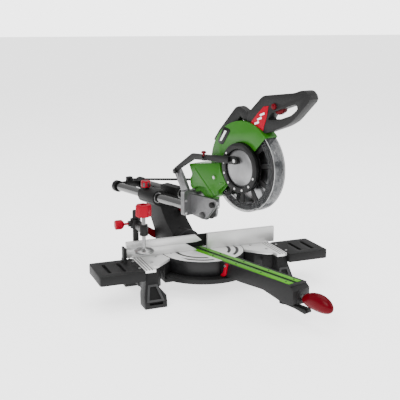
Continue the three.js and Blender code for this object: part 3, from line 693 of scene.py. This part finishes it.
bracket_grey = cast_grey("bracket_grey", 0.12, 0.24, 0.34)
finished("head_bracket", bracket_grey, 0.0012)
finished("head_hinge_pin", dark_screw_steel, 0.0006)
finished("transport_pin", post_black, 0.0006)
finished("head_return_spring", ground_steel("spring_steel", 0.35, 0.3), 0.0)
for side in (-1, 1):
    for count, z in enumerate((203, 236)):
        put_screw(f"rail_screw_{side + 1}{count}", (side * 56, 0, z), (0, -1, 0), 3.2, "slider")


# ---- Power lead and drive belt ----
# Round black rubber cable from the end bar to the bracket, held at both ends. The belt from the
# motor to the arbor, inside the housing, is of the same rubber.
def rubber_coat():
    """Matt black rubber with a fine skin and slow dusty patches."""
    material, flow, place = start_material("rubber_coat")
    fine = cloud(flow, place, 1500.0, 2.0)
    slow = cloud(flow, place, 25.0, 3.0)
    colour = blend_colour(flow, slow, grey(0.006, 1.08), grey(0.014, 1.04))
    end_material(
        flow,
        {"Specular IOR Level": 0.15},
        {"Base Color": colour, "Roughness": 0.55 + slow * 0.15, "Normal": relief(flow, fine, 0.2)},
    )
    return material


rubber = rubber_coat()
finished("power_lead", rubber, 0.0, smooth=60.0)
finished("drive_belt", rubber, 0.0)


# ---- Guard link ----
# Two flat steel bars, painted black, that slide past each other and open the lower guard as the
# head comes down. A dark red button stands on the rear one.
finished("guard_link_rear", post_black, 0.0012)
finished("guard_link_front", post_black, 0.001)
finished("guard_link_button", dark_red, 0.001)
put_screw("link_bolt_front", (-53, -182, 367), LEFT, 4.2, "guard_link_front")
put_screw("link_bolt_rear", (-57, 48, 308), LEFT, 4.2, "guard_link_rear", dark_screw_steel)


# ---- Head: arm housing and upper guard ----
# Die castings in satin green enamel, black on the low hinge end. The housing carries the motor and
# the belt case, with cast ribs and a boss outside, and the guard has a black badge with a white bar.
def green_enamel():
    """Satin enamel with a faint orange peel, black below the line of the hinge end."""
    black_below = 0.249
    material, flow, place = start_material("green_enamel")
    slow = cloud(flow, place, 20.0, 3.0)
    peel = cloud(flow, place, 420.0, 2.0)
    colour = blend_colour(flow, slow, (0.012, 0.088, 0.002), (0.018, 0.120, 0.003))
    low = axis_of(flow, place, 2) < black_below
    colour = blend_colour(flow, low, colour, grey(0.004))
    end_material(
        flow,
        {"Coat Roughness": 0.15, "Specular IOR Level": 0.2},
        {
            "Base Color": colour,
            "Roughness": 0.3 + slow * 0.12,
            "Coat Weight": 0.08 + slow * 0.08,
            "Normal": relief(flow, peel, 0.12),
        },
    )
    return material


enamel = green_enamel()
finished("arm_housing", enamel, 0.0016)
finished("upper_guard", enamel, 0.0014)


def plate_from(name, outline, face_x, thick, edge, material):
    """A flat plate on the left of the head: outline in millimetres along and up, outer face at face_x."""
    bpy.ops.object.select_all(action="DESELECT")
    bpy.ops.mesh.primitive_circle_add(vertices=len(outline), radius=1.0, fill_type="NGON")
    plate = bpy.context.object
    plate.name = name
    for vertex, (y, z) in zip(plate.data.vertices, outline):
        vertex.co = (face_x * MM, y * MM, z * MM)
    bpy.ops.object.mode_set(mode="EDIT")
    bpy.ops.mesh.select_all(action="SELECT")
    bpy.ops.mesh.extrude_region_move(TRANSFORM_OT_translate={"value": (thick * MM, 0, 0)})
    bpy.ops.mesh.select_all(action="SELECT")
    bpy.ops.mesh.normals_make_consistent(inside=False)
    bpy.ops.object.mode_set(mode="OBJECT")
    break_edges(plate, edge * MM)
    bpy.ops.object.shade_smooth_by_angle(angle=math.radians(35))
    plate.data.transform(turned)
    plate.data.materials.append(material)
    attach(plate, "head")


case_side = -39.9
rib = [(-12, 319), (-16, 325), (-88, 266), (-84, 260)]
plate_from("shield_rib", rib, case_side, 1.7, 0.8, enamel)
low_rib = [(-112, 296), (-116, 302), (-128, 304), (-127, 299)]
plate_from("shield_rib_low", low_rib, case_side, 1.7, 0.6, enamel)
boss = []
for step in range(24):
    angle = math.tau * step / 24
    boss.append((-93 + 8 * math.cos(angle), 311 + 8 * math.sin(angle)))
plate_from("shield_boss", boss, case_side, 1.7, 0.5, enamel)

badge_black = black_coat("badge_black", 0.002, 500.0, 0.03, 0.25)
badge = [
    (-99, 397), (-94, 402), (-113, 437), (-119, 440),
    (-136, 437), (-139, 432), (-116, 399), (-110, 396),
]
plate_from("badge_plate", badge, -28.9, 0.8, 0.3, badge_black)
white = black_coat("badge_white", 0.75, 500.0, 0.03, 0.4)
badge_bar = [(-108, 404), (-102, 405), (-120, 432), (-127, 431)]
plate_from("badge_bar", badge_bar, -29.4, 0.5, 0.2, white)


# ---- Handles ----
# Black glass-filled nylon mouldings: a carrying handle on top and the main grip in front, with a dark red trigger
# and a bright red side panel that carries three white bars.
handle_black = black_coat("handle_black", 0.008, 1500.0, 0.3, 0.5)
finished("carry_handle", handle_black, 0.0035, 35.0, 60.0)
finished("main_handle", handle_black, 0.004, 35.0, 60.0)
finished("trigger", dark_red, 0.0015)
finished("lock_off_button", dark_red, 0.0008)
panel = [
    (-203, 458), (-226, 482), (-246, 500), (-262, 503),
    (-257, 477), (-249, 455), (-246, 443), (-218, 454),
]
plate_from("handle_panel", panel, -22.4, 1.8, 0.8, bright_red)
for count, (y, z) in enumerate([(-225, 462), (-234, 473), (-243, 484)]):
    mark = [(y - 8, z - 1), (y + 6, z - 7), (y + 8, z - 3), (y - 6, z + 3)]
    plate_from(f"panel_white_bar_{count}", mark, -22.8, 0.6, 0.2, white)


# ---- Motor ----
# A black moulded barrel behind the belt case, closed by a cap with a ring of sixteen cooling bars.
# The armature and its fan turn inside it.
finished("motor_housing", handle_black, 0.0012)
finished("motor_end_cap", handle_black, 0.0008)
finished("armature", bronze, 0.0)
finished("motor_fan", handle_black, 0.0)
motor = turned.inverted() @ Vector(joints["rotor_spin"]["pos_m"])
cap_face = 0.1734
bar_count = 16
bar_reach = 0.0115
bar_size = (0.0016, 0.0022, 0.020)
bpy.ops.object.select_all(action="DESELECT")
bpy.ops.mesh.primitive_cube_add(size=1.0)
bar = bpy.context.object
bar.name = "cooling_bar_master"
bar.data.transform(Matrix.Diagonal((*bar_size, 1)))
break_edges(bar, 0.0005)
for count in range(bar_count):
    turn = Matrix.Rotation(math.tau * count / bar_count, 4, "X")
    spoke = copy_of(bar, f"cooling_bar_{count}")
    middle = Matrix.Translation((cap_face, motor.y, motor.z))
    spoke.data.transform(turned @ middle @ turn @ Matrix.Translation((0, 0, bar_reach)))
    spoke.data.materials.append(handle_black)
    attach(spoke, "head")
bpy.data.objects.remove(bar)


# ---- Blade ----
# Ground tool steel with twenty-four teeth. A turned steel flange clamps it on the arbor shaft,
# which is ground bright.
def blade_steel():
    """Steel ground in rings about the bore."""
    material, flow, place = start_material("blade_steel")
    centre = joints["arbor_spin"]["pos_m"]
    off = flow.add("ShaderNodeVectorMath", {"operation": "SUBTRACT"}, {0: place, 1: centre})
    reach = flow.add("ShaderNodeVectorMath", {"operation": "LENGTH"}, {0: off}, out=1)
    grinding = {"W": reach, "Scale": 1800.0, "Detail": 3.0}
    rings = flow.add("ShaderNodeTexNoise", {"noise_dimensions": "1D"}, grinding)
    colour = blend_colour(flow, rings, (0.20, 0.205, 0.21), (0.34, 0.34, 0.345))
    end_material(
        flow,
        {"Metallic": 1.0},
        {"Base Color": colour, "Roughness": 0.22 + rings * 0.16, "Normal": relief(flow, rings, 0.1)},
    )
    return material


finished("blade", blade_steel(), 0.0002)
finished("arbor_shaft", rail_steel, 0.0004)
finished("blade_flange", screw_steel, 0.0006)


# ---- Lower guard ----
# A black moulded disc with windows and, round it, a clear plastic channel that covers the teeth; bright beads on
# its lips are painted highlights along its clear edges. The grey hub cover and the black ring under it are screwed
# to the upper guard.
def clear_channel():
    """Clear moulding, almost unseen over the black disc and smoky where it faces forward."""
    wall_inside = -0.0222
    material, flow, place = start_material("clear_channel")
    slow = cloud(flow, place, 60.0, 3.0)
    colour = blend_colour(flow, slow, (0.02, 0.022, 0.024), (0.07, 0.073, 0.077))
    side_wall = from_pivot(flow, place, across) < wall_inside
    alpha = 0.52 + slow * 0.10 - side_wall * 0.44
    end_material(
        flow,
        {"Coat Roughness": 0.05, "Specular IOR Level": 0.3},
        {
            "Base Color": colour,
            "Roughness": 0.10 + slow * 0.08,
            "Alpha": alpha,
            "Coat Weight": slow * 0.06,
        },
    )
    return material


finished("lower_guard", post_black, 0.0006)
finished("guard_rim", clear_channel(), 0.0)


hub = turned.inverted() @ Vector(joints["arbor_spin"]["pos_m"]) / MM
# Painted highlight: a half-metallic grey for the bright lines along the clear channel's lips.
painted_lip_highlight = ground_steel("painted_lip_highlight", 0.34, 0.18, metal=0.6)


def guard_lip(name, side_x):
    """A thin bright bead on one lip of the channel, round the blade's centre, a painted highlight along its clear
    edge. 0 degrees is the front.
    """
    first, last = -134, 49
    bead_circle = 0.1086
    bead_half = 0.0009
    bpy.ops.object.select_all(action="DESELECT")
    bpy.ops.mesh.primitive_torus_add(
        major_radius=bead_circle, minor_radius=bead_half, major_segments=120, minor_segments=8
    )
    lip = bpy.context.object
    lip.name = name
    bpy.ops.object.mode_set(mode="EDIT")
    bpy.ops.mesh.select_all(action="DESELECT")
    bpy.ops.object.mode_set(mode="OBJECT")
    for vertex in lip.data.vertices:
        angle = math.degrees(math.atan2(vertex.co.y, vertex.co.x))
        vertex.select = not first < angle < last
    bpy.ops.object.mode_set(mode="EDIT")
    bpy.ops.mesh.delete(type="VERT")
    bpy.ops.mesh.select_all(action="SELECT")
    bpy.ops.mesh.fill_holes(sides=8)
    bpy.ops.object.mode_set(mode="OBJECT")
    bpy.ops.object.shade_smooth_by_angle(angle=math.radians(60))
    upright = Matrix(((0, 0, 1, 0), (-1, 0, 0, 0), (0, 1, 0, 0), (0, 0, 0, 1)))
    lip.data.transform(turned @ Matrix.Translation(Vector((side_x, hub.y, hub.z)) * MM) @ upright)
    lip.data.materials.append(painted_lip_highlight)
    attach(lip, "lower_guard")


for count, side_x in enumerate((-24.2, 10.2)):
    guard_lip(f"guard_lip_{count}", side_x)
finished("guard_hub_ring", post_black, 0.001)
finished("guard_hub_cover", cast_grey("hub_silver", 0.17, 0.26, 0.26), 0.0012)
screw_circle = 54.0
first_screw = 200
screw_step = 28
for count in range(8):
    angle = math.radians(first_screw + screw_step * count)
    along = hub.y + screw_circle * math.cos(angle)
    up = hub.z + screw_circle * math.sin(angle)
    put_screw(f"hub_screw_{count}", (-38, along, up), LEFT, 2.9, "head")
put_screw("housing_screw_0", (-39.8, -93, 311), LEFT, 4.0, "head")
bpy.data.objects.remove(screw)
